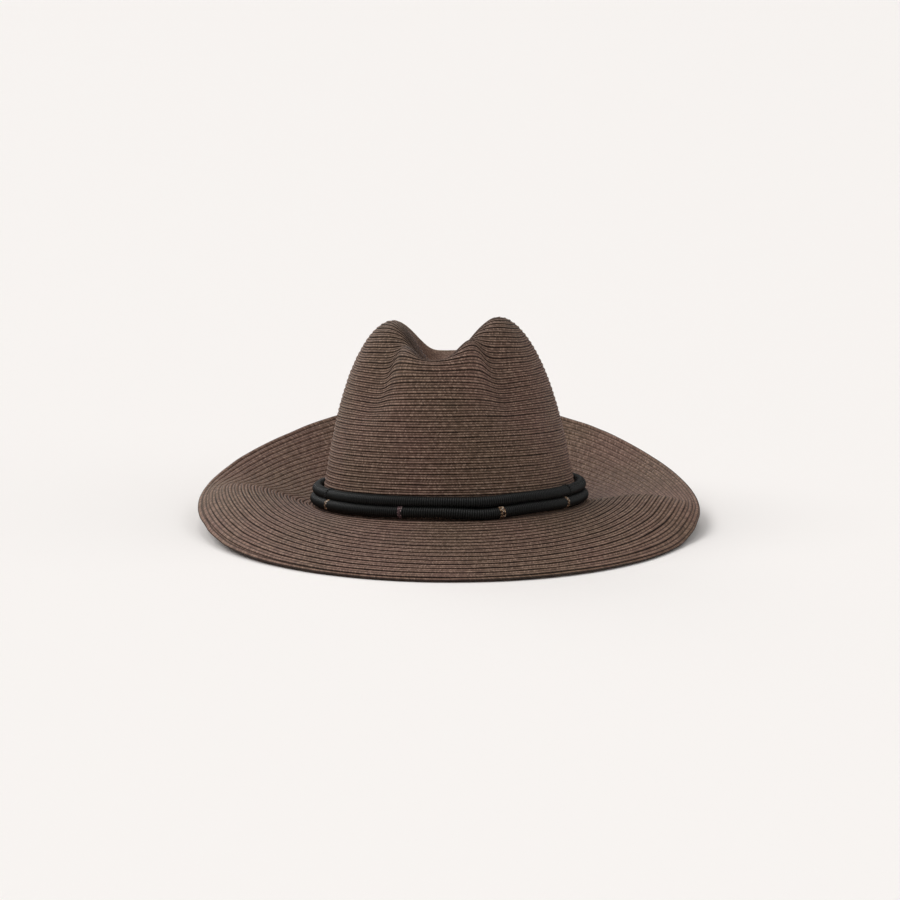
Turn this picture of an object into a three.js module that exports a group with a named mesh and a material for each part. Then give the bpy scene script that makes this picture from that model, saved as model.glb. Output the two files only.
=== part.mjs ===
// A wide-brimmed straw fedora, sewn from one narrow braid, with a band of two wrapped cords.
// Millimetres, +Z up, the front of the hat towards -Y. It stands as it would by itself:
// on the front edge of its dipped brim and on the back of the crown's base.
import * as THREE from 'three';

// Crown: an open dome on an oval base, before its dents
const BASE_HALF_WIDTH = 85.5;
const OVAL_EXTRA_LENGTH = 16; // how much further the oval reaches to front and back
const DOME_HEIGHT = 131.5;
const DOME_SQUARENESS = 3.5; // 2 would be a plain ellipse in section
const TAPER = { side: 0.268, front: 0.15, back: 0.22 };
const FRONT_LIFT = 0.08; // the front wall stands straighter, so its rows ride higher
const TIP_ROUNDING = 4; // the oval turns round towards the middle of the tip; higher turns later
const LAST_CLIMB = 86; // degrees up the dome where the rings end and a small cap closes it
const WALL = 2;

// Centre crease: whatever stands above its floor is pressed down near the middle
const CREASE = { centre: -3.4, floor: 99.7, sag: 7.4, reach: 80, soft: 2.8, squareness: 2.37 };
const CREASE_HALF_WIDTH = { front: 23.5, middle: 25.8, back: 29, reach: 75, leftward: 0.9 };
// Two pinches in front, and the ridge that each leaves on its inner side. Both fade out over the tip,
// between these shares of the way from its middle to the wall.
const DENT_FADE = { none: 0.12, full: 0.6 };
const PINCH = { angle: 40, spread: 15, height: 100, tall: 34, squareness: 2.6, depth: 8.5, drop: 0.9 };
const RIDGE = { angle: 24, spread: 12, height: 106, tall: 24, depth: 3, drop: -1.6 };

// Brim: angle from the front (right-hand side positive), height of the edge over the base,
// how late it curls (1 is straight), and the height of the hump between base and edge
const BRIM_WIDTH = 81.8;
const BRIM_SECTIONS = [
  { angle: -180, edge: 60, curl: 1.35, hump: 0 },
  { angle: -150, edge: 53.7, curl: 1.35, hump: -1 },
  { angle: -125, edge: 36, curl: 1.3, hump: -1 },
  { angle: -105, edge: 19.5, curl: 1.3, hump: 1 },
  { angle: -85, edge: 5.7, curl: 1.3, hump: 12 },
  { angle: -70, edge: -3.4, curl: 1.3, hump: 13 },
  { angle: -50, edge: -16.3, curl: 1.3, hump: 8 },
  { angle: -25, edge: -25.3, curl: 1.25, hump: 3 },
  { angle: 0, edge: -29.7, curl: 1.2, hump: 2 },
  { angle: 25, edge: -29.5, curl: 1.2, hump: 2 },
  { angle: 50, edge: -26.6, curl: 1.2, hump: 5 },
  { angle: 70, edge: -21.2, curl: 1.2, hump: 10 },
  { angle: 85, edge: -10.3, curl: 1.2, hump: 11 },
  { angle: 105, edge: 2, curl: 1.2, hump: 0 },
  { angle: 125, edge: 19, curl: 1.3, hump: -2 },
  { angle: 150, edge: 43.5, curl: 1.35, hump: -1 },
];
const HUMP_LATENESS = 1.6; // the higher, the nearer the brim's edge the hump is highest
const SEAM = { crown: 3, brim: 2.7 }; // heights where crown and brim meet, behind the lower cord
const FILLET = { reach: 5, power: 3 };

// Band: two wrapped cords, stacked
const CORD_RADIUS = 3.2;
const LOWER_CORD = { out: 4.2, front: 4.4, side: 5.5, back: 6.5 };
const UPPER_CORD = { out: 2.6, front: 12.1, side: 14.2, back: 14.1 };
const WRAP_CLEARANCE = 0.55;
const BEAD_WRAP = { thickness: 0.5, length: 5 };
const BEAD_WRAP_ANGLES = { left: -61, front_left: -15.5, front_right: 26.8, right: 68 };
const KEEPER = { thickness: 0.45, length: 2.2 };
const KEEPER_ANGLES = { left: -62, right: 70 };

// How the hat leans back and sideways when it stands on a flat surface
const LEAN_BACK = 6;
const ROLL_RIGHT_UP = 1.8;

// Fineness of the faceted surfaces
const STEPS = {
  crownRound: 68, crownUp: 19, brimRound: 86, brimFillet: 3, brimOut: 6, cordLong: 72, cordRound: 8, wrapRound: 10,
};

const STRAW = { color: 0x6a5446, roughness: 0.75, metalness: 0 };
const CORD = { color: 0x1d1b1a, roughness: 0.6, metalness: 0 };
const BEADS = { color: 0x8a7468, roughness: 0.35, metalness: 0.8 };

const radians = THREE.MathUtils.degToRad;
const bell = (x, spread, squareness = 2) => Math.exp(-(Math.abs(x / spread) ** squareness));
const clamp01 = (x) => THREE.MathUtils.clamp(x, 0, 1);
const humpPeak = HUMP_LATENESS / (HUMP_LATENESS + 1);
const humpScale = 1 / (humpPeak ** HUMP_LATENESS * (1 - humpPeak));

// A smooth curve through one column of the brim's sections, closed round the hat
function brimColumn(column, angle) {
  const count = BRIM_SECTIONS.length;
  const degrees = THREE.MathUtils.euclideanModulo(angle - BRIM_SECTIONS[0].angle, 360) + BRIM_SECTIONS[0].angle;
  const at = (i) => {
    const turn = Math.floor(i / count);
    const section = BRIM_SECTIONS[i - turn * count];
    return { angle: section.angle + 360 * turn, value: section[column] };
  };
  let i = 0;
  while (at(i + 1).angle <= degrees) i += 1;
  const [before, start, end, after] = [at(i - 1), at(i), at(i + 1), at(i + 2)];
  const span = end.angle - start.angle;
  const k = (degrees - start.angle) / span;
  const slopeIn = ((end.value - before.value) / (end.angle - before.angle)) * span;
  const slopeOut = ((after.value - start.value) / (after.angle - start.angle)) * span;
  return (2 * k ** 3 - 3 * k ** 2 + 1) * start.value + (k ** 3 - 2 * k ** 2 + k) * slopeIn
    + (3 * k ** 2 - 2 * k ** 3) * end.value + (k ** 3 - k ** 2) * slopeOut;
}

// The oval that crown, brim and cords all follow, moved outwards by some distance
function ovalPoint(angle, outwards, z) {
  const a = radians(angle);
  const halfLength = BASE_HALF_WIDTH + OVAL_EXTRA_LENGTH;
  const normal = new THREE.Vector2(halfLength * Math.sin(a), -BASE_HALF_WIDTH * Math.cos(a)).normalize();
  return new THREE.Vector3(
    BASE_HALF_WIDTH * Math.sin(a) + normal.x * outwards,
    -halfLength * Math.cos(a) + normal.y * outwards,
    z,
  );
}

// Outer face of the crown. climb goes from 0 at the base to 90 at the middle of the tip.
function crownPoint(angle, climb) {
  const a = radians(angle);
  const c = radians(climb);
  const across = Math.max(Math.cos(c), 0);
  const scale = (across ** DOME_SQUARENESS + Math.sin(c) ** DOME_SQUARENESS) ** (1 / DOME_SQUARENESS);
  const inset = across / scale;
  const rise = Math.sin(c) / scale;
  const taper = Math.cos(a) > 0 ? TAPER.front : TAPER.back;
  const halfWidth = BASE_HALF_WIDTH * inset * (1 - TAPER.side * rise);
  const halfLength = BASE_HALF_WIDTH * inset * (1 - taper * rise) + OVAL_EXTRA_LENGTH * (1 - (1 - inset) ** TIP_ROUNDING);
  const front = clamp01(Math.cos(a));
  const z = DOME_HEIGHT * rise * (1 + FRONT_LIFT * front ** 2 * (1 - rise));
  const point = new THREE.Vector3(halfWidth * Math.sin(a), -halfLength * Math.cos(a), z);

  const floor = CREASE.floor - CREASE.sag * (1 - Math.min(Math.abs(point.y / CREASE.reach), 1) ** 2);
  const above = CREASE.soft * Math.log1p(Math.exp((z - floor) / CREASE.soft));
  const forward = clamp01(-point.y / CREASE_HALF_WIDTH.reach) ** 2;
  const backward = clamp01(point.y / CREASE_HALF_WIDTH.reach) ** 2;
  const fromCrease = point.x - CREASE.centre;
  const width = (CREASE_HALF_WIDTH.middle
    + (CREASE_HALF_WIDTH.front - CREASE_HALF_WIDTH.middle) * forward
    + (CREASE_HALF_WIDTH.back - CREASE_HALF_WIDTH.middle) * backward)
    * (fromCrease < 0 ? CREASE_HALF_WIDTH.leftward : 1);
  point.z -= above * bell(fromCrease, width, CREASE.squareness);

  const dented = THREE.MathUtils.smoothstep(inset, DENT_FADE.none, DENT_FADE.full);
  for (const side of [-1, 1]) {
    const press = PINCH.depth * dented * bell(angle - side * PINCH.angle, PINCH.spread)
      * bell(z - PINCH.height, PINCH.tall, PINCH.squareness);
    const swell = RIDGE.depth * dented * bell(angle - side * RIDGE.angle, RIDGE.spread)
      * bell(z - RIDGE.height, RIDGE.tall);
    point.x -= (press - swell) * Math.sin(a);
    point.y += (press - swell) * Math.cos(a);
    point.z -= PINCH.drop * press + RIDGE.drop * swell;
  }
  return point;
}

// Upper face of the brim. across goes from 0 at the crown's base to 1 at the edge.
function brimPoint(angle, across) {
  const edge = brimColumn('edge', angle);
  const outwards = Math.max(across, 0);
  const hump = humpScale * brimColumn('hump', angle) * outwards ** HUMP_LATENESS * (1 - across);
  const reach = Math.sqrt(BRIM_WIDTH ** 2 - edge ** 2);
  const fillet = SEAM.brim * clamp01(1 - (across * BRIM_WIDTH) / FILLET.reach) ** FILLET.power;
  return ovalPoint(angle, reach * across, edge * outwards ** brimColumn('curl', angle) + hump + fillet);
}

// The point one wall thickness from a face, square to it; the sign says on which side
function beside(face, angle, along, { probe, sign }) {
  const round = face(angle + probe.angle, along).sub(face(angle - probe.angle, along));
  const out = face(angle, along + probe.along).sub(face(angle, along - probe.along));
  return face(angle, along).addScaledVector(round.cross(out).normalize(), sign * WALL);
}
const INSIDE_CROWN = { probe: { angle: 0.01, along: 0.01 }, sign: -1 };
const UNDER_BRIM = { probe: { angle: 0.01, along: 0.0001 }, sign: 1 };

// A closed body from rings of points, each ring joined to the next
function bodyFromRings(rings, closedAcross) {
  const count = rings[0].length;
  const positions = rings.flat().flatMap((p) => [p.x, p.y, p.z]);
  const faces = [];
  const last = closedAcross ? rings.length : rings.length - 1;
  for (let r = 0; r < last; r += 1) {
    const next = (r + 1) % rings.length;
    for (let i = 0; i < count; i += 1) {
      const j = (i + 1) % count;
      const [a, b, c, d] = [r * count + i, r * count + j, next * count + j, next * count + i];
      faces.push(a, b, c, a, c, d);
    }
  }
  if (!closedAcross) {
    [0, rings.length - 1].forEach((r, end) => {
      const middle = rings[r].reduce((sum, p) => sum.add(p), new THREE.Vector3()).divideScalar(count);
      positions.push(middle.x, middle.y, middle.z);
      const hub = positions.length / 3 - 1;
      for (let i = 0; i < count; i += 1) {
        const [a, b] = [r * count + i, r * count + ((i + 1) % count)];
        faces.push(...(end === 0 ? [hub, b, a] : [hub, a, b]));
      }
    });
  }
  const geometry = new THREE.BufferGeometry();
  geometry.setAttribute('position', new THREE.Float32BufferAttribute(positions, 3));
  geometry.setIndex(faces);
  geometry.computeVertexNormals();
  return geometry;
}

const ringOf = (count, make) => Array.from({ length: count }, (_, i) => make(-180 + (360 * i) / count));
const stepsFrom = (start, end, count) => Array.from({ length: count + 1 }, (_, i) => start + ((end - start) * i) / count);

function crownGeometry() {
  const seamClimb = THREE.MathUtils.radToDeg(Math.atan(SEAM.crown / DOME_HEIGHT));
  const climbs = stepsFrom(seamClimb, LAST_CLIMB, STEPS.crownUp);
  const inner = climbs.map((climb) => ringOf(STEPS.crownRound, (angle) => beside(crownPoint, angle, climb, INSIDE_CROWN)));
  const outer = climbs.map((climb) => ringOf(STEPS.crownRound, (angle) => crownPoint(angle, climb)));
  return bodyFromRings([...inner.reverse(), ...outer], false);
}

function brimGeometry() {
  const filletEnd = FILLET.reach / BRIM_WIDTH;
  const across = [...stepsFrom(0, filletEnd, STEPS.brimFillet), ...stepsFrom(filletEnd, 1, STEPS.brimOut).slice(1)];
  const top = across.map((k) => ringOf(STEPS.brimRound, (angle) => brimPoint(angle, k)));
  const under = across.map((k) => ringOf(STEPS.brimRound, (angle) => beside(brimPoint, angle, k, UNDER_BRIM)));
  return bodyFromRings([...under.reverse(), ...top].reverse(), true);
}

// The line along the middle of a cord
class BandLoop extends THREE.Curve {
  constructor(cord) {
    super();
    this.cord = cord;
  }

  at(angle) {
    const a = radians(angle);
    const { out, front, side, back } = this.cord;
    const middle = (front + back) / 2;
    const z = middle + ((front - back) / 2) * Math.cos(a) + (side - middle) * Math.sin(a) ** 2;
    return ovalPoint(angle, out, z);
  }

  getPoint(t) {
    return this.at(-180 + 360 * t);
  }
}

function cordGeometry(cord) {
  return new THREE.TubeGeometry(new BandLoop(cord), STEPS.cordLong, CORD_RADIUS, STEPS.cordRound, true);
}

// A short sleeve round a cord, set square to it
function wrapMesh(name, cord, angle, wrap, material) {
  const inner = CORD_RADIUS + WRAP_CLEARANCE;
  const outer = inner + wrap.thickness;
  const half = wrap.length / 2;
  const bevel = wrap.thickness / 3;
  const profile = [[inner, -half], [outer - bevel, -half], [outer, bevel - half], [outer, half - bevel],
    [outer - bevel, half], [inner, half], [inner, -half]].map(([r, h]) => new THREE.Vector2(r, h));
  const mesh = new THREE.Mesh(new THREE.LatheGeometry(profile, STEPS.wrapRound), material);
  const loop = new BandLoop(cord);
  mesh.name = name;
  mesh.position.copy(loop.at(angle));
  mesh.quaternion.setFromUnitVectors(new THREE.Vector3(0, 1, 0), loop.at(angle + 1).sub(loop.at(angle - 1)).normalize());
  return mesh;
}

const materialOf = (finish) => new THREE.MeshStandardMaterial(finish);
const materials = { straw: materialOf(STRAW), cord: materialOf(CORD), beads: materialOf(BEADS) };

function namedMesh(name, geometry, material) {
  const mesh = new THREE.Mesh(geometry, material);
  mesh.name = name;
  return mesh;
}

const hat = new THREE.Group();
hat.add(
  namedMesh('crown', crownGeometry(), materials.straw.clone()),
  namedMesh('brim', brimGeometry(), materials.straw.clone()),
  namedMesh('band_cord_lower', cordGeometry(LOWER_CORD), materials.cord.clone()),
  namedMesh('band_cord_upper', cordGeometry(UPPER_CORD), materials.cord.clone()),
);
for (const [place, angle] of Object.entries(BEAD_WRAP_ANGLES)) {
  hat.add(wrapMesh(`bead_wrap_${place}`, LOWER_CORD, angle, BEAD_WRAP, materials.beads.clone()));
}
for (const [place, angle] of Object.entries(KEEPER_ANGLES)) {
  hat.add(wrapMesh(`cord_keeper_${place}`, UPPER_CORD, angle, KEEPER, materials.cord.clone()));
}

// The hat as it stands: leaned, rolled, and set down on z = 0 over the origin
hat.rotation.set(-radians(LEAN_BACK), -radians(ROLL_RIGHT_UP), 0, 'XYZ');
const standing = new THREE.Group();
standing.add(hat);
const box = new THREE.Box3().setFromObject(standing, true);
const centre = box.getCenter(new THREE.Vector3());
standing.position.set(-centre.x, -centre.y, -box.min.z);

export default standing;
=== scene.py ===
# %% [markdown]
# # A straw fedora, sewn from one narrow braid
#
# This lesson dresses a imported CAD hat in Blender. The CAD gives smooth walls for crown and brim, two plain
# rings for the band, and plain sleeves where the band is wrapped. Here each of them is made again as what it
# really is: plaited straw braid sewn round and round, cords wound with thread, and rows of tiny metal beads.
# Shapes are worked out in millimetres on the hat's own base, and then stand on the CAD's floor in metres.

# %% The frame
import math

import bpy
import numpy as np
from mathutils import Matrix, Vector


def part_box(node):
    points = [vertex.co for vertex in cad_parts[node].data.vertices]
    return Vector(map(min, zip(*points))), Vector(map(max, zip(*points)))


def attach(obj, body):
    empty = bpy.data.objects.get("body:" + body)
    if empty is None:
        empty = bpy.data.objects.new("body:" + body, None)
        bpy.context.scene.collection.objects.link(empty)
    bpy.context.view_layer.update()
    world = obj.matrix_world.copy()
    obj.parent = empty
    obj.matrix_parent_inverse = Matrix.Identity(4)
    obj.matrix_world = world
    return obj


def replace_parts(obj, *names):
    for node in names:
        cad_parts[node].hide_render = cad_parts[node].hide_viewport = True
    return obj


MM = 0.001
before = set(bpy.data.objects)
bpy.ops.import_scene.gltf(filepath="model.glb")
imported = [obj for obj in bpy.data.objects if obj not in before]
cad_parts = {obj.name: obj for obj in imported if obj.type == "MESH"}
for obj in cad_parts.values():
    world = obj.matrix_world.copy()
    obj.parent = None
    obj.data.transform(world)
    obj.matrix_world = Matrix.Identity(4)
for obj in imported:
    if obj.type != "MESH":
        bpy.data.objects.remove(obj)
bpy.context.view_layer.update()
print("CAD nodes:", ", ".join(sorted(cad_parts)))

# %% [markdown]
# ## The camera
#
# The photograph was taken with a long lens from a little above the brim and a little to the hat's left. Long
# lenses flatten a thing, so the camera stands 2.1 m away. It was fitted to the hat's own base, the flat oval
# that crown and brim share, and is carried over to the standing hat below, once that base is placed.

# %% How the camera sees the base
CAMERA = dict(elevation=5.5, yaw=5.0, roll=0.9, distance=2.1, lens=125.56, sensor=36, sees_until=100)
PRINCIPAL_POINT = (449.7, 503.6)  # where the middle of the base falls in the photograph's 900 pixels
PHOTO_SIZE = 900

# %% [markdown]
# ## The hat's surfaces
#
# A sewn straw hat starts as a button of braid in the middle of the tip, and is pressed over a block while
# damp. So its rows run round the tip, down the wall and out along the brim, dents and all. The rows could be
# laid on the CAD's own mesh, but its facets would show in them. So the formulas that shaped the CAD's walls
# are repeated here, in millimetres on the base's own frame, and the rows lie on those walls exactly.

# %% Named sizes of the crown
BASE_HALF_WIDTH = 85.5
OVAL_EXTRA_LENGTH = 16.0
DOME_HEIGHT = 131.5
DOME_SQUARENESS = 3.5
TAPER = dict(side=0.268, front=0.15, back=0.22)
FRONT_LIFT = 0.08
TIP_ROUNDING = 4
CREASE = dict(centre=-3.4, floor=99.7, sag=7.4, reach=80, soft=2.8, squareness=2.37)
CREASE_HALF_WIDTH = dict(front=23.5, middle=25.8, back=29, reach=75, leftward=0.9)
DENT_FADE = dict(none=0.12, full=0.6)
PINCH = dict(angle=40, spread=15, height=100, tall=34, squareness=2.6, depth=8.5, drop=0.9)
RIDGE = dict(angle=24, spread=12, height=106, tall=24, squareness=2.0, depth=3, drop=-1.6)


def bell(x, spread, squareness=2.0):
    return np.exp(-np.abs(x / spread) ** squareness)


def smoothstep(x, low, high):
    k = np.clip((x - low) / (high - low), 0, 1)
    return k * k * (3 - 2 * k)


def between(first, second, share):
    return first + (second - first) * share


def signed_angle(angle):
    """The same direction as an angle from -180 to 180 degrees."""
    return (np.asarray(angle, float) + 180) % 360 - 180


# %% The crown's outer face
def crown_point(angle, climb):
    """angle is round the hat from its front, climb is 0 at the base and 90 at the tip, both in degrees."""
    angle, climb = np.broadcast_arrays(np.asarray(angle, float), np.asarray(climb, float))
    angle = signed_angle(angle)
    a, c = np.radians(angle), np.radians(climb)
    across = np.maximum(np.cos(c), 0)
    scale = (across ** DOME_SQUARENESS + np.sin(c) ** DOME_SQUARENESS) ** (1 / DOME_SQUARENESS)
    inset, rise = across / scale, np.sin(c) / scale
    taper = np.where(np.cos(a) > 0, TAPER["front"], TAPER["back"])
    half_width = BASE_HALF_WIDTH * inset * (1 - TAPER["side"] * rise)
    half_length = (BASE_HALF_WIDTH * inset * (1 - taper * rise)
                   + OVAL_EXTRA_LENGTH * (1 - (1 - inset) ** TIP_ROUNDING))
    front = np.clip(np.cos(a), 0, 1)
    z = DOME_HEIGHT * rise * (1 + FRONT_LIFT * front ** 2 * (1 - rise))
    x, y = half_width * np.sin(a), -half_length * np.cos(a)

    floor = CREASE["floor"] - CREASE["sag"] * (1 - np.minimum(np.abs(y / CREASE["reach"]), 1) ** 2)
    above = CREASE["soft"] * np.log1p(np.exp((z - floor) / CREASE["soft"]))
    widths = CREASE_HALF_WIDTH
    forwards, backwards = (np.clip(s * y / widths["reach"], 0, 1) ** 2 for s in (-1, 1))
    width = (widths["middle"] + (widths["front"] - widths["middle"]) * forwards
             + (widths["back"] - widths["middle"]) * backwards)
    from_crease = x - CREASE["centre"]
    width = width * np.where(from_crease < 0, widths["leftward"], 1)
    height = z - above * bell(from_crease, width, CREASE["squareness"])

    dented = smoothstep(inset, DENT_FADE["none"], DENT_FADE["full"])
    for side in (-1, 1):
        press, swell = [
            dent["depth"] * dented * bell(angle - side * dent["angle"], dent["spread"])
            * bell(z - dent["height"], dent["tall"], dent["squareness"]) for dent in (PINCH, RIDGE)]
        x = x - (press - swell) * np.sin(a)
        y = y + (press - swell) * np.cos(a)
        height = height - PINCH["drop"] * press - RIDGE["drop"] * swell
    return np.stack([x, y, height], -1)


# %% Named sizes of the brim
BRIM_WIDTH = 81.8
BRIM_COLUMNS = ("angle", "edge", "curl", "hump")
BRIM_SECTIONS = np.array([
    (-180, 60, 1.35, 0), (-150, 53.7, 1.35, -1), (-125, 36, 1.3, -1), (-105, 19.5, 1.3, 1),
    (-85, 5.7, 1.3, 12), (-70, -3.4, 1.3, 13), (-50, -16.3, 1.3, 8), (-25, -25.3, 1.25, 3),
    (0, -29.7, 1.2, 2), (25, -29.5, 1.2, 2), (50, -26.6, 1.2, 5), (70, -21.2, 1.2, 10),
    (85, -10.3, 1.2, 11), (105, 2, 1.2, 0), (125, 19, 1.3, -2), (150, 43.5, 1.35, -1)])
HUMP_LATENESS = 1.6
FILLET = dict(height=2.7, reach=5.0, power=3)


def brim_column(name, angle):
    """A smooth closed curve through one column of the brim's sections."""
    starts, values = BRIM_SECTIONS[:, 0], BRIM_SECTIONS[:, BRIM_COLUMNS.index(name)]
    count = len(starts)
    degrees = (np.asarray(angle, float) - starts[0]) % 360 + starts[0]
    i = np.searchsorted(starts, degrees, side="right") - 1

    def knot(step):
        return starts[(i + step) % count] + 360 * ((i + step) // count), values[(i + step) % count]

    (a0, v0), (a1, v1), (a2, v2), (a3, v3) = knot(-1), knot(0), knot(1), knot(2)
    span = a2 - a1
    k = (degrees - a1) / span
    slope_in, slope_out = (v2 - v0) / (a2 - a0) * span, (v3 - v1) / (a3 - a1) * span
    return ((2 * k ** 3 - 3 * k ** 2 + 1) * v1 + (k ** 3 - 2 * k ** 2 + k) * slope_in
            + (3 * k ** 2 - 2 * k ** 3) * v2 + (k ** 3 - k ** 2) * slope_out)


# %% The oval and the brim's upper face
def oval_point(angle, outwards, z):
    """A point this far outside the base's oval, square to it, and this high above it."""
    a = np.radians(angle)
    half_length = BASE_HALF_WIDTH + OVAL_EXTRA_LENGTH
    normal = np.stack([half_length * np.sin(a), -BASE_HALF_WIDTH * np.cos(a)])
    normal = normal / np.linalg.norm(normal, axis=0)
    return np.stack([BASE_HALF_WIDTH * np.sin(a) + normal[0] * outwards,
                     -half_length * np.cos(a) + normal[1] * outwards, z + 0 * a], -1)


def brim_point(angle, across):
    """across goes from 0 at the crown's base to 1 at the brim's edge."""
    angle, across = np.broadcast_arrays(np.asarray(angle, float), np.asarray(across, float))
    edge, outwards = brim_column("edge", angle), np.maximum(across, 0)
    peak = HUMP_LATENESS / (HUMP_LATENESS + 1)
    hump_scale = brim_column("hump", angle) / (peak ** HUMP_LATENESS * (1 - peak))
    hump = hump_scale * outwards ** HUMP_LATENESS * (1 - across)
    reach = np.sqrt(BRIM_WIDTH ** 2 - edge ** 2)
    fillet = FILLET["height"] * np.clip(1 - across * BRIM_WIDTH / FILLET["reach"], 0, 1) ** FILLET["power"]
    return oval_point(angle, reach * across, edge * outwards ** brim_column("curl", angle) + hump + fillet)


# %% [markdown]
# ## Standing the hat on the floor
#
# The hat leans back by 6 degrees and a little sideways, because its front brim dips below its base. The lean
# is a rotation. The shift that follows could be a measured number, but then it would be wrong after the next
# change to the CAD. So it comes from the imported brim's own box: the brim's edge is worked out on the leaning
# base, and the base is moved until the edge fills that box.

# %% From the base's frame to the floor's
LEAN_BACK = 6.0
ROLL_RIGHT_UP = 1.8
WALL = 2.0
CAD_COLUMNS = 86  # columns of points round the hat in the CAD's walls
PROBE = dict(turn=0.05, row=0.02, brim=0.0001)  # steps in degrees, rows and brim widths for taking slopes
lean_back = Matrix.Rotation(-math.radians(LEAN_BACK), 3, "X")
lean = np.array(lean_back @ Matrix.Rotation(-math.radians(ROLL_RIGHT_UP), 3, "Y"))


def normals_of(surface, angle, row, row_probe=PROBE["row"]):
    """Directions square to a surface of angle and row, away from the hollow and the floor."""
    turn = surface(angle + PROBE["turn"], row) - surface(angle - PROBE["turn"], row)
    outwards = surface(angle, row + row_probe) - surface(angle, row - row_probe)
    normal = np.cross(outwards, turn)
    return normal / np.linalg.norm(normal, axis=-1, keepdims=True)


cad_angles = -180 + 360 * np.arange(CAD_COLUMNS) / CAD_COLUMNS
edge_above = brim_point(cad_angles, 1.0)
edge_below = edge_above - WALL * normals_of(brim_point, cad_angles, 1.0, PROBE["brim"])
edge = np.concatenate([edge_above, edge_below]) @ lean.T * MM
base_middle = (np.array(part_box("brim")).sum(0) - edge.min(0) - edge.max(0)) / 2
base_middle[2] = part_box("brim")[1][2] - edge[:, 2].max()


def stand(points):
    """Points on the base's frame in mm, on the floor's frame in metres."""
    return np.asarray(points) @ lean.T * MM + base_middle


print("middle of the base in mm:", np.round(base_middle / MM, 2))


# %% The camera, carried over to the standing hat
def photo_camera():
    e, yaw, roll = (math.radians(CAMERA[k]) for k in ("elevation", "yaw", "roll"))
    right = np.array([math.cos(yaw), math.sin(yaw), 0])
    back = np.array([math.sin(yaw) * math.cos(e), -math.cos(yaw) * math.cos(e), math.sin(e)])
    up = np.cross(back, right)
    axes = [right * math.cos(roll) - up * math.sin(roll), right * math.sin(roll) + up * math.cos(roll), back]
    turn = lean @ np.array(axes).T
    camera = bpy.data.objects.new("camera", bpy.data.cameras.new("camera"))
    bpy.context.collection.objects.link(camera)
    place = Matrix(turn.tolist()).to_4x4()
    place.translation = Vector(base_middle + turn[:, 2] * CAMERA["distance"])
    camera.matrix_world = place
    camera.data.lens = CAMERA["lens"]
    camera.data.sensor_width = CAMERA["sensor"]
    camera.data.shift_x = (PHOTO_SIZE / 2 - PRINCIPAL_POINT[0]) / PHOTO_SIZE
    camera.data.shift_y = (PRINCIPAL_POINT[1] - PHOTO_SIZE / 2) / PHOTO_SIZE
    camera.data.clip_end = CAMERA["sees_until"]
    bpy.context.scene.camera = camera
    return camera


print("camera at", [round(x, 3) for x in photo_camera().matrix_world.translation])

# %% [markdown]
# ## Shader maths as sums
#
# A finish is a small calculation: where on the braid a point lies, how round the straw is there, how dark the
# gap beside it is. Written with nodes alone that is hard to read, so one class wraps a socket and lets the
# usual operators add the Math nodes. Anything that isn't a sum comes from one method that adds any node.


# %% A socket that can be added, multiplied and compared
class Value:
    def __init__(self, finish, socket):
        self.finish, self.socket = finish, socket

    def maths(self, operation, *others):
        return self.finish.node("ShaderNodeMath", {"operation": operation}, self, *others)

    def output(self, name):
        """Another output of the same node."""
        return Value(self.finish, self.socket.node.outputs[name])

    def __add__(self, other):
        return self.maths("ADD", other)

    def __sub__(self, other):
        return self.maths("SUBTRACT", other)

    def __rsub__(self, other):
        return (self * -1) + other

    def __mul__(self, other):
        return self.maths("MULTIPLY", other)

    def __truediv__(self, other):
        return self.maths("DIVIDE", other)

    def __pow__(self, other):
        return self.maths("POWER", other)

    def __gt__(self, other):
        return self.maths("GREATER_THAN", other)

    __radd__, __rmul__ = __add__, __mul__

    def abs(self):
        return self.maths("ABSOLUTE")

    def floor(self):
        return self.maths("FLOOR")

    def fract(self):
        return self.maths("FRACT")

    def at_least(self, other):
        return self.maths("MAXIMUM", other)

    def at_most(self, other):
        return self.maths("MINIMUM", other)

    def as_share(self):
        """Kept from 0 to 1."""
        return self.at_least(0).at_most(1)

    def arch(self):
        """A half circle: 0 where the value is -1 or 1, and 1 where it is 0."""
        return (1 - self ** 2).at_least(0) ** 0.5


# %% A material that is built by asking for nodes
MAP_NAME = "braid"
MIX_PLACES = dict(share=0, first=6, second=7, mixed=2)  # a Mix node's colour sockets share their names


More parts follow.
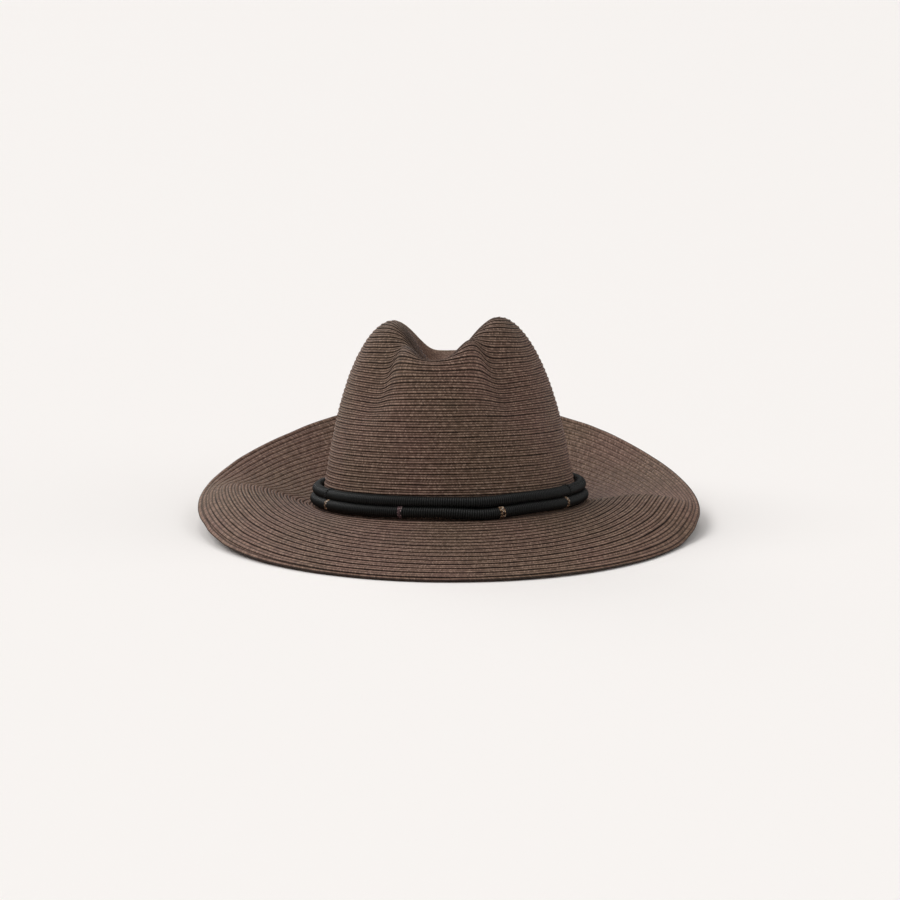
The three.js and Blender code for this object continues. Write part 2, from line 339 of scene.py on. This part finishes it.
class Finish:
    def __init__(self, name, specular, roughness=None):
        self.material = bpy.data.materials.new(name)
        self.material.use_nodes = True
        self.tree = self.material.node_tree
        self.shader = self.tree.nodes["Principled BSDF"]
        self.shader.inputs["Specular IOR Level"].default_value = specular
        if roughness is not None:
            self.shader.inputs["Roughness"].default_value = roughness

    def node(self, kind, settings=None, *values, output=0, places=None, **named):
        """Adds a node: its type, its settings, then its sockets in order, by place or by name."""
        node = self.tree.nodes.new(kind)
        for key, value in (settings or {}).items():
            if key == "stops":
                while len(node.color_ramp.elements) < len(value):
                    node.color_ramp.elements.new(0.5)
                for element, (position, colour) in zip(node.color_ramp.elements, value):
                    element.position, element.color = position, colour
            else:
                setattr(node, key, value)
        sockets = {**dict(enumerate(values)), **(places or {}),
                   **{name.replace("_", " "): value for name, value in named.items()}}
        for key, value in sockets.items():
            if isinstance(value, Value):
                self.tree.links.new(value.socket, node.inputs[key])
            else:
                node.inputs[key].default_value = value
        return Value(self, node.outputs[output])

    def mix(self, share, first, second):
        places = {MIX_PLACES["share"]: share, MIX_PLACES["first"]: first, MIX_PLACES["second"]: second}
        return self.node("ShaderNodeMix", {"data_type": "RGBA"}, places=places, output=MIX_PLACES["mixed"])

    def noise(self, vector, scale, detail):
        return self.node("ShaderNodeTexNoise", None, Vector=vector, Scale=scale, Detail=detail)

    def map_place(self):
        """u along the braid or cord, and v across or round it, from the mesh's own map."""
        u = self.node("ShaderNodeSeparateXYZ", None, self.node("ShaderNodeUVMap", {"uv_map": MAP_NAME}))
        return u, u.output("Y")

    def map_noise(self, u, v, along, across, scale, detail):
        """Noise on the mesh's own map, stretched by how fast it changes along and across."""
        place = self.node("ShaderNodeCombineXYZ", None, u * along, v * across, 0.0)
        return self.noise(place, scale, detail)

    def ramp(self, value, stops):
        return self.node("ShaderNodeValToRGB", {"stops": stops}, value)

    def bump(self, height, distance, strength=1.0):
        return self.node("ShaderNodeBump", None, Height=height, Distance=distance, Strength=strength)

    def feed(self, **sockets):
        for name, value in sockets.items():
            self.tree.links.new(value.socket, self.shader.inputs[name.replace("_", " ")])


def srgb(*levels):
    """A colour measured on a screen, 0 to 255, as the linear light and the alpha that a shader wants."""
    shares = [level / 255 for level in levels]
    return (*[c / 12.92 if c <= 0.04045 else ((c + 0.055) / 1.055) ** 2.4 for c in shares], 1.0)


# %% [markdown]
# ## The straw's finish
#
# The braid is plaited flat: splints of straw cross from its middle to both edges like a herringbone. Every
# splint is a little different in tone, and the dyed brown drifts slowly from rosy to olive over the hat. Shade
# is painted on as well: dark in the gaps between the splints, and dark dotted lines along the braid's middle
# groove and at the edges where the rows overlap. A picture of straw would stretch over the dents and repeat
# itself, so the plait is worked out instead. The braid's mesh carries its own map, with u along the braid and
# v across it, so the pattern bends with every row. The splints' relief is only a fraction of a millimetre, so
# it is a bump, while the rows themselves are real overlapping ribbons.

# %% The plait's sizes, tones and painted shade
SPLINT_PITCH = 1.0     # mm along the braid from one splint to the next
SPLINT_SLANT = 1.1     # how many splints a slanting one passes on its way to the edge
LOWER_LUCK = 5171.3    # far enough away that the lower half's splints have tones of their own
UV_LENGTH = 100.0      # mm of braid to one unit of u
STRAW_TONES = [(0.0, srgb(100, 77, 64)), (0.35, srgb(129, 101, 85)), (0.75, srgb(152, 122, 104)),
               (1.0, srgb(184, 152, 132))]
STRAW_TINTS = dict(rosy=srgb(153, 112, 100), olive=srgb(131, 108, 84), share=0.3)
TINT_DRIFT = dict(scale=16.0, detail=3.0)
OLIVE_FROM = dict(least=0.38, gain=4)
# Painted shade: one dark colour painted into the gaps between splints, along the middle groove and at the
# rows' overlaps
STRAW_PAINTED_SHADE = srgb(16, 9, 6)
GAP_SHADE = dict(starts=0.3, gain=2, softness=1.1)   # the gap between splints, from a splint's middle at 0 to 1
SHADE_LINE_REACH = 1.3                          # in the line's own widths, and full for 0.3 of one
DOTTED_SHADE = dict(shaded_groove=0.45, overlap_shade=0.25)       # how much of a dark line shows only at the splints' gaps
FIBRE = dict(along=900, across=40, scale=3.0, detail=2.0)
STRAW_RELIEF = dict(splint=0.55, half=0.45, fibre=0.15, metres=0.0004)
STRAW_ROUGHNESS = dict(least=0.48, fibre=0.3)


# %% Braided straw
def painted_shade_line(away, near_gap, dotted):
    """How dark a painted shade line along the braid is, given how far away it is in its own widths."""
    return (SHADE_LINE_REACH - away).as_share() * (near_gap * dotted + (1 - dotted))


def straw_finish(name, line):
    """line is how wide the painted shade lines along the braid's middle and at its edges are, as a share of
    half its width.
    """
    f = Finish(name, specular=0.3)
    u, v = f.map_place()
    lower = v > 0.5
    from_middle = (v - 0.5).abs() * 2
    phase = u * (UV_LENGTH / SPLINT_PITCH) + (1 - from_middle) * SPLINT_SLANT + lower * 0.5
    from_splint = (phase.fract() * 2 - 1).abs()
    round_splint, round_half = from_splint.arch(), (from_middle * 2 - 1).arch()
    relief = round_splint * STRAW_RELIEF["splint"] + round_half * STRAW_RELIEF["half"]

    luck = f.node("ShaderNodeTexWhiteNoise", {"noise_dimensions": "1D"},
                  W=phase.floor() + lower * LOWER_LUCK)
    drift = f.noise(f.node("ShaderNodeTexCoord", output="Object"), **TINT_DRIFT)
    olive = ((drift - OLIVE_FROM["least"]) * OLIVE_FROM["gain"]).as_share()
    tint = f.mix(olive, STRAW_TINTS["rosy"], STRAW_TINTS["olive"])
    colour = f.mix(STRAW_TINTS["share"], f.ramp(luck, STRAW_TONES), tint)

    # Painted shade: darker towards the gaps between splints, and dotted dark lines at the middle groove and
    # the overlapping edges
    near_gap = ((from_splint - GAP_SHADE["starts"]) * GAP_SHADE["gain"]).as_share()
    splint_gap_shade = (1 - round_splint) ** GAP_SHADE["softness"]
    shaded_groove = painted_shade_line(from_middle / line, near_gap, DOTTED_SHADE["shaded_groove"])
    overlap_shade = painted_shade_line((1 - from_middle) / line, near_gap, DOTTED_SHADE["overlap_shade"])
    colour = f.mix(splint_gap_shade.at_least(shaded_groove).at_least(overlap_shade), colour, STRAW_PAINTED_SHADE)

    fibre = f.map_noise(u, v, **FIBRE)
    f.feed(Base_Color=colour, Roughness=fibre * STRAW_ROUGHNESS["fibre"] + STRAW_ROUGHNESS["least"],
           Normal=f.bump(relief + fibre * STRAW_RELIEF["fibre"], STRAW_RELIEF["metres"]))
    print(name, "has", len(f.tree.nodes), "nodes")
    return f.material


# %% [markdown]
# ## The braid itself
#
# One flat ribbon runs in a spiral. Each turn lies a little under the lower edge of the turn above it, like
# roof tiles, and its cross-section has a shallow groove along the middle where the plait's halves meet. The
# rows could be a bump on one smooth wall, but sewn rows show at the hat's outline and shade each other, so
# the ribbon is a real one. Its first and last turns close on themselves, so that the hat's edges come out
# even, as a maker does by letting the braid's ends run out under their neighbours. A table gives the section:
# share across the visible row, and millimetres above the CAD wall's outer face.

# %% The braid's section
BRAID_SECTION = [(-0.25, -0.85), (0.00, -0.25), (0.18, 0.14), (0.40, 0.14), (0.50, -0.26),
                 (0.60, 0.18), (0.80, 0.50), (1.02, 0.42), (1.00, -0.75), (-0.15, -1.45)]
TUCK = 0.9                             # mm that a turn is pressed down where it lies wholly under another
SIDEWAYS = [(14, 0.02), (50, 0.02)]    # mm of braid from draw to draw, and how far a row strays, in rows
UP_AND_DOWN = [(9, 0.03), (60, 0.03)]  # mm of braid from draw to draw, and how far a row rises, in mm
START_ANGLE = 180
PROBES_A_TURN = 360
RING_PACE = dict(radius_share=0.17, least=0.6)  # mm from ring to ring, shorter where the spiral is tight
chance = np.random.default_rng(20)


def soft_random(length, step, amount):
    """A slowly wandering number along the braid: one draw every step, joined smoothly."""
    knots = chance.normal(0, amount, int(length.max() / step) + 3)
    k = length / step
    i = k.astype(int)
    return between(knots[i], knots[i + 1], smoothstep(k - i, 0, 1))


# %% A spiral ribbon on a surface
def braid(name, surface, rows, margins, longest_step, finish):
    """surface(angle, row) gives points in mm. The ribbon fills all rows; its first and last turn keep level.
    margins are how many rows it may reach past its first and its last row, negative where it stops short."""
    def row_of(t):
        return np.clip(t - 1, 0, rows - 1)

    fine = np.linspace(0, rows + 1, (rows + 1) * PROBES_A_TURN)
    middle = surface(START_ANGLE + 360 * fine, row_of(fine) + 0.5)
    run = np.concatenate([[0], np.cumsum(np.linalg.norm(np.diff(middle, axis=0), axis=1))])
    radius = np.hypot(middle[:, 0], middle[:, 1])
    pace = np.clip(radius * RING_PACE["radius_share"], RING_PACE["least"], longest_step)
    count = np.concatenate([[0], np.cumsum(np.diff(run) / pace[1:])])
    t = np.interp(np.linspace(0, count[-1], int(count[-1]) + 1), count, fine)

    length, angle, row = np.interp(t, fine, run), START_ANGLE + 360 * t, row_of(t)
    waver = sum(soft_random(length, step, amount) for step, amount in SIDEWAYS)
    covered = np.where(t < 1, 0, 1 - np.minimum(row - row_of(t - 1), 1))
    lift = sum(soft_random(length, step, amount) for step, amount in UP_AND_DOWN) - TUCK * covered
    rings = []
    for share, height in BRAID_SECTION:
        at = np.clip(row + share + waver, -margins[0], rows + margins[1])
        rings.append(surface(angle, at) + normals_of(surface, angle, at) * (height + lift)[:, None])
    across = [max(0.0, min(1.0, share)) for share, _ in BRAID_SECTION]
    print(name, "is", round(run[-1] * MM, 1), "m of braid")
    return ribbon(name, np.stack(rings, 1), [*across, across[0]], length / UV_LENGTH, finish)


# %% From rings of points to a closed mesh with its map
def ribbon(name, rings, across, lengthwise, finish, loop=False):
    """rings is count x round x 3 in mm. across has one value more than a ring has points, as it comes round.
    A loop's last ring is its first again and is left out, and lengthwise keeps its value for it."""
    count, around = rings.shape[0] - loop, rings.shape[1]
    i, k = np.meshgrid(np.arange(count if loop else count - 1), np.arange(around), indexing="ij")
    i_next, k_next = (i + 1) % count, (k + 1) % around
    quads = np.stack([i * around + k, i_next * around + k, i_next * around + k_next, i * around + k_next], -1)
    u = np.stack([lengthwise[i], lengthwise[i + 1], lengthwise[i + 1], lengthwise[i]], -1).ravel()
    v = np.asarray(across)[np.stack([k, k, k + 1, k + 1], -1)].ravel()
    caps = [] if loop else [list(range(around)), list(range((count - 1) * around, count * around))[::-1]]
    mesh = bpy.data.meshes.new(name)
    mesh.from_pydata(stand(rings[:count].reshape(-1, 3)).tolist(), [], quads.reshape(-1, 4).tolist() + caps)
    flat_caps = np.zeros(sum(len(cap) for cap in caps))
    uv = np.stack([np.concatenate([u, flat_caps]), np.concatenate([v, flat_caps])], 1)
    mesh.uv_layers.new(name=MAP_NAME).data.foreach_set("uv", uv.ravel())
    return add_piece(name, mesh, finish)


def add_piece(name, mesh, finish):
    """Puts a mesh in the scene, smooth and with its faces outwards, and lets it ride on the hat."""
    corners = np.array([[mesh.vertices[n].co for n in polygon.vertices[:3]] for polygon in mesh.polygons])
    if np.einsum("ij,ij->", corners[:, 0], np.cross(corners[:, 1], corners[:, 2])) < 0:
        mesh.flip_normals()
    mesh.polygons.foreach_set("use_smooth", [True] * len(mesh.polygons))
    mesh.materials.append(finish)
    mesh.update()
    piece = bpy.data.objects.new(name, mesh)
    bpy.context.collection.objects.link(piece)
    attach(piece, "root")
    print(f"{name}: {sum(len(p.vertices) - 2 for p in mesh.polygons)} triangles")
    return piece


# %% [markdown]
# ## Where the rows run on the crown
#
# Braid hardly stretches, so a row keeps its distance from the row below it, whatever the block does. Rows are
# therefore counted upwards from the crown's base, each one braid's width further along the wall. A straight
# ladder of heights would look wrong in front: pressing the two pinches in has pulled the rows down there, the
# panel between the ridges rides higher, and the ridges themselves carry the rows up to the peaks. On the tip,
# what is left is shared out evenly, so that the rows close round its middle. The wall is measured along 721
# lines from base to tip, and where each row crosses each line follows from that.

# %% The wall, measured along its lines
CROWN_ROW = 3.35    # mm along the wall from row to row
SEAM_HEIGHT = 3.0   # mm above the base, where crown and brim meet
LINE_STEP = 0.5     # degrees from line to line
ROUND_CLIMB = 60    # the climb in degrees above which a line's points lie closer together
LINE_POINTS = dict(wall=200, tip=260)
line_angles = np.arange(-180, 180 + LINE_STEP, LINE_STEP)
low_climb = math.degrees(math.atan(SEAM_HEIGHT / DOME_HEIGHT))
wall_climbs = np.linspace(low_climb, ROUND_CLIMB, LINE_POINTS["wall"])
tip_climbs = np.linspace(ROUND_CLIMB, 90, LINE_POINTS["tip"] + 1)[1:]
line_climbs = np.concatenate([wall_climbs, tip_climbs])
lines = crown_point(line_angles[:, None], line_climbs[None])
steps = np.linalg.norm(np.diff(lines, axis=1), axis=2)
up_the_wall = np.concatenate([np.zeros((len(lines), 1)), np.cumsum(steps, axis=1)], axis=1)
crown_rows = round(up_the_wall[:, -1].mean() / CROWN_ROW)
side_line = list(line_angles).index(90)
print("the crown has", crown_rows, "rows, and its wall is", np.round(up_the_wall[:, -1].min()), "to",
      np.round(up_the_wall[:, -1].max()), "mm long")

# %% The ladder of rows
ROW_PARTS = 10      # steps of the ladder to one row
EVEN_UNTIL = 125.0  # mm up the wall from the base where the rows begin to be shared out over the tip
FRONT_FADE = 2.2    # the pulls are full until 63 degrees from the front, where this times the cosine is 1
PULLS = [  # mm along the wall, how far sideways, how wide, how square, and the heights where it begins, is
           # full, fades and ends
    dict(amount=-2.5, centre=56, spread=12, squareness=2.0, heights=(62, 104, 138, 168)),  # beside a pinch
    dict(amount=5.0, centre=0, spread=37, squareness=2.6, heights=(62, 104, 138, 168)),    # the front panel
    dict(amount=11.0, centre=26, spread=12, squareness=2.0, heights=(84, 124, 146, 178))]  # a ridge
row_steps = np.linspace(0, crown_rows, ROW_PARTS * crown_rows + 1)


def row_climbs(angle, distances):
    """The climb of every row on one line up the crown, given how far up the wall the line's points are."""
    even = (crown_rows - row_steps) * CROWN_ROW
    share = (even - EVEN_UNTIL) / (crown_rows * CROWN_ROW - EVEN_UNTIL)
    ladder = np.where(share < 0, even, EVEN_UNTIL + share * (distances[-1] - EVEN_UNTIL))
    a = math.radians(angle)
    sideways = abs(math.sin(a)) * np.interp(ladder, up_the_wall[side_line], lines[side_line, :, 0])
    in_front = min(max(FRONT_FADE * math.cos(a), 0), 1)
    pulled = sum(pull["amount"] * np.interp(ladder, pull["heights"], (0, 1, 1, 0))
                 * bell(sideways - pull["centre"], pull["spread"], pull["squareness"]) for pull in PULLS)
    return np.interp(ladder + pulled * in_front, distances, line_climbs)


row_table = np.array([row_climbs(angle, distances) for angle, distances in zip(line_angles, up_the_wall)])
print("the ladder is", " by ".join(str(n) for n in row_table.shape))


def crown_row(angle, row):
    """A point of the crown by its row, 0 at the middle of the tip and crown_rows at the base."""
    across = ((np.asarray(angle) + 180) % 360) / LINE_STEP
    down = np.clip(row * ROW_PARTS, 0, len(row_steps) - 1.001)  # just short of the last step
    i, k = across.astype(int), np.floor(down).astype(int)
    here, next_line = (between(row_table[n, k], row_table[n, k + 1], down - k) for n in (i, i + 1))
    return crown_point(angle, between(here, next_line, across - i))


# %% [markdown]
# ## Crown and brim
#
# The crown's ribbon starts as a button in the middle of the tip and ends level at the base. The brim's rows
# are counted from the crown outwards and are a bit wider, because the block stretches them. On a real hat it
# is all one braid. Here it is two ribbons, because the CAD has a crown and a brim, and each ribbon takes the
# place of its own wall.

# %% The crown's braid
CROWN_MARGINS = (-0.08, -0.03)
CROWN_STEP = 2.5
crown_straw = straw_finish("crown_straw", line=0.3)
crown = braid("crown_braid", crown_row, crown_rows, CROWN_MARGINS, CROWN_STEP, crown_straw)
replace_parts(crown, "crown")

# %% The brim's braid
BRIM_ROW = 4.3
BRIM_MARGINS = (0.2, 0.1)
BRIM_STEP = 2.1
brim_rows = round(BRIM_WIDTH / BRIM_ROW)
print("the brim has", brim_rows, "turns of", round(BRIM_WIDTH / brim_rows, 2), "mm")


def brim_row(angle, row):
    return brim_point(angle, row / brim_rows)


brim_straw = straw_finish("brim_straw", line=0.22)
brim = braid("brim_braid", brim_row, brim_rows, BRIM_MARGINS, BRIM_STEP, brim_straw)
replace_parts(brim, "brim")

# %% [markdown]
# ## The band
#
# Two cords lie round the foot of the crown. Each is wound with fine dark thread, so its surface is a helix of
# small ridges. A bump would leave the cord's outline smooth, so the ridges are real: the tube's radius rises
# and falls once a pitch, and the crest turns round the tube as the thread does. The grooves between the
# windings are painted black as shade. Two narrow thread keepers hold the upper cord, and four short wraps of
# tiny metal beads sit on the lower one.

# %% The thread's sizes, tones and painted groove shade
THREAD_PITCH = 1.45
# The groove colour is painted shade, black in the grooves between the windings; dark and light are the
# thread's own tones, mixed by wear
THREAD = dict(shaded_groove=srgb(0, 0, 0), dark=srgb(6, 6, 6), light=srgb(40, 42, 40))
THREAD_WEAR = dict(along=60, across=0.5, scale=4.0, detail=3.0)
THREAD_STRANDS = dict(along=1500, across=14, scale=2.0, detail=1.0)
LIGHT_FROM = dict(least=0.3, gain=1.8)
GROOVE_SHADE_REACH = dict(most=1.6, fall=-2)  # full for the groove's inner 0.3, and gone at 0.8 of the way out
THREAD_ROUGHNESS = dict(least=0.26, worn=0.3, shaded_groove=0.4)
STRAND_RELIEF = dict(distance=0.00012, strength=0.6)


# %% Wound thread
def thread_finish():
    f = Finish("wound_thread", specular=0.32)
    u, v = f.map_place()
    worn = f.map_noise(u, v, **THREAD_WEAR)
    winding = (u * (UV_LENGTH / THREAD_PITCH) - v).fract()
    # Painted shade: black in the groove between the windings, which also gets a higher roughness there
    shaded_groove = ((winding * 2 - 1).abs() * GROOVE_SHADE_REACH["fall"] + GROOVE_SHADE_REACH["most"]).as_share()
    light = ((worn - LIGHT_FROM["least"]) * LIGHT_FROM["gain"]).as_share()
    colour = f.mix(shaded_groove, f.mix(light, THREAD["dark"], THREAD["light"]), THREAD["shaded_groove"])
    roughness = worn * THREAD_ROUGHNESS["worn"] + shaded_groove * THREAD_ROUGHNESS["shaded_groove"]
    f.feed(Base_Color=colour, Roughness=roughness + THREAD_ROUGHNESS["least"],
           Normal=f.bump(f.map_noise(u, v, **THREAD_STRANDS), **STRAND_RELIEF))
    print("wound_thread has", len(f.tree.nodes), "nodes")
    return f.material


thread = thread_finish()

# %% The cords' lines
CORD_RADIUS = 3.4
LOWER_CORD = dict(out=3.5, front=4.6, left=6.2, right=5.3, back=6.5, slack=1.0)
UPPER_CORD = dict(out=1.9, front=11.1, left=12.7, right=12.4, back=13.4, slack=0.5)
SLACK = dict(angle=20, spread=12, down=1.9, out=2.4)  # where the cords sag from the crown in front
CORD_PROBES = 3600
AHEAD = 0.1  # degrees to either side, for a cord's direction


def cord_line(cord, angle):
    a = np.radians(angle)
    middle, side = (cord["front"] + cord["back"]) / 2, np.where(np.sin(a) < 0, cord["left"], cord["right"])
    z = middle + (cord["front"] - cord["back"]) / 2 * np.cos(a) + (side - middle) * np.sin(a) ** 2
    slack = cord["slack"] * bell(signed_angle(angle) - SLACK["angle"], SLACK["spread"])
    return oval_point(angle, cord["out"] + SLACK["out"] * slack, z - SLACK["down"] * slack)


def cord_frame(cord, angle):
    """The line's point, its direction, and two directions square to it: outwards and up."""
    point = cord_line(cord, angle)
    ahead = cord_line(cord, angle + AHEAD) - cord_line(cord, angle - AHEAD)
    ahead = ahead / np.linalg.norm(ahead, axis=-1, keepdims=True)
    side = np.cross(ahead, [0, 0, 1.0])
    side = side / np.linalg.norm(side, axis=-1, keepdims=True)
    return point, ahead, side, np.cross(side, ahead)


def cord_length(cord):
    """Angles from the back round the front to the back, and how far along the cord each of them lies."""
    angles = np.linspace(-180, 180, CORD_PROBES + 1)
    line = cord_line(cord, angles)
    return angles, np.concatenate([[0], np.cumsum(np.linalg.norm(np.diff(line, axis=0), axis=1))])


# %% The cords
THREAD_RELIEF = 0.5
AROUND_CORD = 16
RINGS_PER_THREAD = 4
CORD_SWELL = dict(step=11, amount=0.05)  # mm from draw to draw, and how much thicker or thinner, in mm


def wound_cord(name, cord):
    angles, lengths = cord_length(cord)
    windings = round(lengths[-1] / THREAD_PITCH)
    s = np.linspace(0, lengths[-1], windings * RINGS_PER_THREAD + 1)
    point, _, side, up = cord_frame(cord, np.interp(s, lengths, angles))
    turn = 2 * np.pi * np.arange(AROUND_CORD) / AROUND_CORD
    crest = np.cos(2 * np.pi * windings * s[:, None] / lengths[-1] - turn[None])
    swell = soft_random(s, **CORD_SWELL) * np.sin(np.pi * s / lengths[-1])
    radius = CORD_RADIUS + THREAD_RELIEF * crest + swell[:, None]
    rings = point[:, None] + radius[..., None] * (np.cos(turn)[None, :, None] * side[:, None]
                                                 + np.sin(turn)[None, :, None] * up[:, None])
    across = np.arange(AROUND_CORD + 1) / AROUND_CORD
    lengthwise = s / lengths[-1] * windings * THREAD_PITCH / UV_LENGTH
    piece = ribbon(name, rings, across, lengthwise, thread, loop=True)
    print(name, "is", round(lengths[-1]), "mm round, with", windings, "windings")
    return piece


for name, cord, node in (("wound_cord_lower", LOWER_CORD, "band_cord_lower"),
                         ("wound_cord_upper", UPPER_CORD, "band_cord_upper")):
    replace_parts(wound_cord(name, cord), node)

# %% [markdown]
# ## Beaded wraps
#
# Each wrap is a few columns of metal seed beads threaded round the lower cord. A bead is a small flattened
# ball. A sleeve with a bump would be smooth at its outline and have no dark gaps, so each bead is a real
# ball. All the beads of a wrap are joined in one piece, and the shader gives every loose part of it a random
# tone, partly the beads' own variety and partly painted light: the nearly white tones are painted glints and
# the darkest are painted shade, so that a few beads look as if they catch the light and most stay dark. One
# wrap is of mauve beads and three are of golden ones.

# %% The beads' finishes
BEAD_STOPS = (0.0, 0.35, 0.75, 1.0)
BEAD_METAL = 0.85


def bead_finish(name, *tones_and_glints):
    f = Finish(name, specular=0.6, roughness=0.3)
    f.shader.inputs["Metallic"].default_value = BEAD_METAL
    # Random tone per bead: partly the beads' own variety, partly painted glints on the lightest and painted
    # shade on the darkest
    luck = f.node("ShaderNodeNewGeometry", output="Random Per Island")
    f.feed(Base_Color=f.ramp(luck, list(zip(BEAD_STOPS, tones_and_glints))))
    return f.material


mauve = bead_finish("mauve_beads", srgb(50, 38, 38), srgb(112, 86, 90), srgb(160, 128, 130),
                    srgb(222, 200, 196))
golden = bead_finish("golden_beads", srgb(44, 30, 24), srgb(128, 96, 76), srgb(206, 172, 138),
                     srgb(255, 248, 236))

# %% One bead
BEAD = dict(radius=0.46, flatten=0.85, around=10, rings=7, pitch=0.98, proud=0.12, uneven=0.15)


def bead_points():
    """One bead about its own centre, as rings from pole to pole, and then both poles."""
    tilt = np.linspace(0, np.pi, BEAD["rings"])[1:-1]
    turn = 2 * np.pi * np.arange(BEAD["around"]) / BEAD["around"]
    ring = np.stack([np.outer(np.sin(tilt), np.cos(turn)), np.outer(np.sin(tilt), np.sin(turn)),
                     np.outer(np.cos(tilt) * BEAD["flatten"], np.ones_like(turn))], -1).reshape(-1, 3)
    return np.concatenate([ring, [[0, 0, BEAD["flatten"]], [0, 0, -BEAD["flatten"]]]]) * BEAD["radius"]


def bead_faces():
    n, rings = BEAD["around"], BEAD["rings"] - 2
    faces = [[r * n + i, (r + 1) * n + i, (r + 1) * n + (i + 1) % n, r * n + (i + 1) % n]
             for r in range(rings - 1) for i in range(n)]
    top, bottom, last = rings * n, rings * n + 1, (rings - 1) * n
    faces += [[top, i, (i + 1) % n] for i in range(n)]
    faces += [[bottom, last + (i + 1) % n, last + i] for i in range(n)]
    return faces


# %% Columns of beads round the cord
BEAD_WRAPS = {  # degrees round the hat, how many columns, and the finish
    "left": (-55, 3, golden), "front_left": (-14.4, 3, mauve),
    "front_right": (26.4, 4, golden), "right": (62.5, 3, golden)}


def beaded_wrap(name, cord, angle, columns, finish):
    """Every second column is turned by half a bead, so that the beads nest."""
    angles, lengths = cord_length(cord)
    middle = np.interp(angle, angles, lengths)
    distance = CORD_RADIUS + BEAD["proud"]
    around = int(2 * np.pi * distance / BEAD["pitch"])
    bead, faces = bead_points(), bead_faces()
    points, polygons = [], []
    for column in range(columns):
        s = middle + (column - (columns - 1) / 2) * BEAD["pitch"]
        point, ahead, side, up = cord_frame(cord, np.interp(s, lengths, angles))
        for i in range(around):
            turn = 2 * np.pi * (i + BEAD["uneven"] * chance.random() + 0.5 * (column % 2)) / around
            out = side * math.cos(turn) + up * math.sin(turn)
            axes = np.stack([out, np.cross(ahead, out), ahead])
            polygons += [[v + len(points) * len(bead) for v in face] for face in faces]
            points.append(bead @ axes + point + out * distance)
    mesh = bpy.data.meshes.new(name)
    mesh.from_pydata(stand(np.concatenate(points)).tolist(), [], polygons)
    piece = add_piece(name, mesh, finish)
    return piece


for place, wrap in BEAD_WRAPS.items():
    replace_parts(beaded_wrap(f"seed_beads_{place}", LOWER_CORD, *wrap), f"bead_wrap_{place}")

# %% [markdown]
# ## Thread keepers
#
# A keeper is two tight turns of the same dark thread round the upper cord. Two rings would do, but they would
# be loose pieces with a slit between them. So it is one short sleeve with two rounded ridges, its profile
# carried round the cord, and it takes the cord's finish.

# %% The keepers
KEEPER = dict(length=2.6, thickness=0.9, ridges=2, around=28, valley=0.35, squareness=0.6, sunk=0.3)
STEPS_PER_RIDGE = 8
KEEPER_ANGLES = dict(left=-56.5, right=66)


def keeper(name, cord, angle):
    angles, lengths = cord_length(cord)
    middle = np.interp(angle, angles, lengths)
    steps = np.linspace(-0.5, 0.5, STEPS_PER_RIDGE * KEEPER["ridges"] + 1)
    ridge = np.abs(np.sin(np.pi * KEEPER["ridges"] * steps)) ** KEEPER["squareness"]
    heights = KEEPER["thickness"] * between(KEEPER["valley"], 1, ridge)
    profile = [(CORD_RADIUS + height, k) for height, k in zip(heights, steps)]
    profile += [(CORD_RADIUS - KEEPER["sunk"], k) for k in steps[::-1]]
    turn = 2 * np.pi * np.arange(KEEPER["around"] + 1) / KEEPER["around"]
    rings = []
    for t in turn:
        ring = []
        for radius, k in profile:
            point, _, side, up = cord_frame(cord, np.interp(middle + k * KEEPER["length"], lengths, angles))
            ring.append(point + radius * (side * math.cos(t) + up * math.sin(t)))
        rings.append(ring)
    across = np.linspace(0, 1, len(profile) + 1)
    piece = ribbon(name, np.array(rings), across, turn * CORD_RADIUS / UV_LENGTH, thread, loop=True)
    return piece


for place, angle in KEEPER_ANGLES.items():
    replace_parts(keeper(f"thread_keeper_{place}", UPPER_CORD, angle), f"cord_keeper_{place}")

# %% [markdown]
# ## Floor and light
#
# The photograph has a plain warm white ground and soft light from the upper left. A wide pale floor runs past
# the picture's edges. Lamps near the hat would light it unevenly, so the lights are far ones with soft edges:
# the key comes from the upper left, another from behind it rims the crown and the peaks, a third opens the
# right side, a weak one high in front lights the cords' tops, and the sky fills the rest. Their sum is set so
# that the ground comes out as pale as it is in the photograph.

# %% The floor
GROUND = srgb(247, 243, 240)
FLOOR_CORNERS = [(-30, -30, 0), (30, -30, 0), (30, 60, 0), (-30, 60, 0)]  # metres
floor_mesh = bpy.data.meshes.new("floor")
floor_mesh.from_pydata(FLOOR_CORNERS, [], [(0, 1, 2, 3)])
floor = bpy.data.objects.new("floor", floor_mesh)
bpy.context.collection.objects.link(floor)
ground = Finish("pale_ground", specular=0.1, roughness=0.9)
ground.shader.inputs["Base Color"].default_value = GROUND
floor_mesh.materials.append(ground.material)

# %% The lamps and the sky
LAMPS = [  # azimuth, elevation and softness in degrees, and watts a square metre
    ("key_from_upper_left", -78, 48, 45, 1.72), ("left_and_behind", -150, 38, 45, 0.93),
    ("fill_from_right", 80, 38, 70, 0.9), ("high_in_front", 10, 80, 20, 0.38)]
SKY = 0.13


def far_lamp(name, azimuth, elevation, softness, irradiance):
    """Light of one strength and direction everywhere. Azimuth is 0 in front and 90 at the right."""
    sun = bpy.data.lights.new(name, "SUN")
    sun.energy, sun.angle = irradiance, math.radians(softness)
    holder = bpy.data.objects.new(name, sun)
    bpy.context.collection.objects.link(holder)
    a, e = math.radians(azimuth), math.radians(elevation)
    towards = Vector((math.sin(a) * math.cos(e), -math.cos(a) * math.cos(e), math.sin(e)))
    holder.rotation_euler = towards.to_track_quat("Z", "Y").to_euler()


for lamp in LAMPS:
    far_lamp(*lamp)
world = bpy.data.worlds.new("studio")
bpy.context.scene.world = world
world.use_nodes = True
world.node_tree.nodes["Background"].inputs["Color"].default_value = (1, 1, 1, 1)
world.node_tree.nodes["Background"].inputs["Strength"].default_value = SKY
bpy.context.scene.view_settings.view_transform = "Standard"
print(len(LAMPS), "lamps and a sky light the hat")
